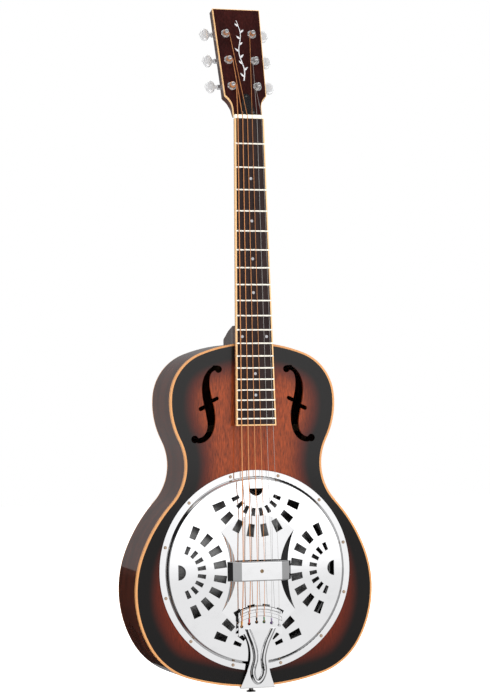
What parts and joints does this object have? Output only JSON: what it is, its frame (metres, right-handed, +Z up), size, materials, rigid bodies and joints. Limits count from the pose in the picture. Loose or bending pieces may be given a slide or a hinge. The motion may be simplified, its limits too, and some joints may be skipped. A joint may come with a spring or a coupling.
{
  "type": "resonator guitar",
  "caption": "Wooden-bodied resonator guitar with a round vented metal coverplate, hand rest, tailpiece, bound fretted neck and geared tuners.",
  "frame": {"origin": "middle of the strap button's neck at the tail, on the centre plane, 28 mm behind the top", "axes": "+Z up along the neck towards the headstock, -Y out of the front of the guitar, +X towards the treble side"},
  "size_m": [0.351, 0.125, 0.98],
  "materials": {
    "sunburst_top": "gloss sunburst over mahogany",
    "body_finish": "gloss dark red-brown mahogany",
    "body_binding": "tan binding under gloss",
    "cream_binding": "cream binding",
    "raw_wood": "bare, sanded",
    "spun_cone": "spun",
    "maple": "fine sanded",
    "steel_screw": "plated",
    "chrome_plate": "polished plating",
    "wound_string": "phosphor bronze winding",
    "plain_string": "plain steel wire",
    "ball_brass": "turned",
    "neck_finish": "gloss dark mahogany",
    "headstock_face": "gloss dark rosewood",
    "rosewood": "oiled, fine pores",
    "fret_wire": "polished nickel silver",
    "pearl_dot": "pearl",
    "bone": "polished bone",
    "black_plastic": "polished black"
  },
  "bodies": {
    "guitar": {"body_top": "sunburst_top", "body_back": "body_finish", "body_sides": "body_finish", "top_binding": "body_binding", "back_binding": "body_binding", "top_lining": "raw_wood", "back_lining": "raw_wood", "neck_block": "raw_wood", "tail_block": "raw_wood", "top_braces": "raw_wood", "back_braces": "raw_wood", "soundwell": "raw_wood", "resonator_cone": "spun_cone", "biscuit": "maple", "biscuit_screw": "steel_screw", "saddle": "maple", "coverplate": "chrome_plate", "coverplate_screws": "chrome_plate", "hand_rest": "chrome_plate", "tailpiece": "chrome_plate", "strap_button": "chrome_plate", "strap_button_screw": "steel_screw", "string_6": "wound_string", "string_5": "wound_string", "string_4": "wound_string", "string_3": "wound_string", "string_2": "plain_string", "string_1": "plain_string", "string_ball_ends": "ball_brass", "neck": "neck_finish", "headstock_veneer": "headstock_face", "headstock_binding": "cream_binding", "fingerboard": "rosewood", "fingerboard_binding": "cream_binding", "fingerboard_riser": "neck_finish", "frets": "fret_wire", "position_dots": "pearl_dot", "nut": "bone", "truss_rod": "steel_screw", "truss_rod_cover": "black_plastic", "truss_cover_screws": "steel_screw", "neck_bolts": "steel_screw", "tuner_housings": "chrome_plate", "tuner_bushings": "chrome_plate", "tuner_washers": "chrome_plate", "tuner_screws": "steel_screw"},
    "key_1": {"tuner_key_1": "chrome_plate"},
    "post_1": {"tuner_post_1": "chrome_plate"},
    "key_2": {"tuner_key_2": "chrome_plate"},
    "post_2": {"tuner_post_2": "chrome_plate"},
    "key_3": {"tuner_key_3": "chrome_plate"},
    "post_3": {"tuner_post_3": "chrome_plate"},
    "key_4": {"tuner_key_4": "chrome_plate"},
    "post_4": {"tuner_post_4": "chrome_plate"},
    "key_5": {"tuner_key_5": "chrome_plate"},
    "post_5": {"tuner_post_5": "chrome_plate"},
    "key_6": {"tuner_key_6": "chrome_plate"},
    "post_6": {"tuner_post_6": "chrome_plate"}
  },
  "joints": [
    {"name": "key_1_turn", "type": "hinge", "parent": "guitar", "child": "key_1", "pos_m": [0.044, 0.01522, 0.8593], "axis": [1, 0, 0], "continuous": true},
    {"name": "post_1_turn", "type": "hinge", "parent": "guitar", "child": "post_1", "pos_m": [0.0192, -0.0093, 0.85797], "axis": [0, -0.9542, 0.299], "continuous": true},
    {"name": "key_2_turn", "type": "hinge", "parent": "guitar", "child": "key_2", "pos_m": [0.044, 0.02751, 0.89851], "axis": [1, 0, 0], "continuous": true},
    {"name": "post_2_turn", "type": "hinge", "parent": "guitar", "child": "post_2", "pos_m": [0.0198, 0.00299, 0.89719], "axis": [0, -0.9542, 0.299], "continuous": true},
    {"name": "key_3_turn", "type": "hinge", "parent": "guitar", "child": "key_3", "pos_m": [0.044, 0.04007, 0.93859], "axis": [1, 0, 0], "continuous": true},
    {"name": "post_3_turn", "type": "hinge", "parent": "guitar", "child": "post_3", "pos_m": [0.01995, 0.01555, 0.93726], "axis": [0, -0.9542, 0.299], "continuous": true},
    {"name": "key_4_turn", "type": "hinge", "parent": "guitar", "child": "key_4", "pos_m": [-0.044, 0.04007, 0.93859], "axis": [-1, 0, 0], "continuous": true},
    {"name": "post_4_turn", "type": "hinge", "parent": "guitar", "child": "post_4", "pos_m": [-0.01995, 0.01555, 0.93726], "axis": [0, -0.9542, 0.299], "continuous": true},
    {"name": "key_5_turn", "type": "hinge", "parent": "guitar", "child": "key_5", "pos_m": [-0.044, 0.02751, 0.89851], "axis": [-1, 0, 0], "continuous": true},
    {"name": "post_5_turn", "type": "hinge", "parent": "guitar", "child": "post_5", "pos_m": [-0.0198, 0.00299, 0.89719], "axis": [0, -0.9542, 0.299], "continuous": true},
    {"name": "key_6_turn", "type": "hinge", "parent": "guitar", "child": "key_6", "pos_m": [-0.044, 0.01522, 0.8593], "axis": [-1, 0, 0], "continuous": true},
    {"name": "post_6_turn", "type": "hinge", "parent": "guitar", "child": "post_6", "pos_m": [-0.0192, -0.0093, 0.85797], "axis": [0, -0.9542, 0.299], "continuous": true}
  ],
  "couplings": [
    {"joint": "post_1_turn", "follows": "key_1_turn", "ratio": 0.071429},
    {"joint": "post_2_turn", "follows": "key_2_turn", "ratio": 0.071429},
    {"joint": "post_3_turn", "follows": "key_3_turn", "ratio": 0.071429},
    {"joint": "post_4_turn", "follows": "key_4_turn", "ratio": 0.071429},
    {"joint": "post_5_turn", "follows": "key_5_turn", "ratio": 0.071429},
    {"joint": "post_6_turn", "follows": "key_6_turn", "ratio": 0.071429}
  ]
}
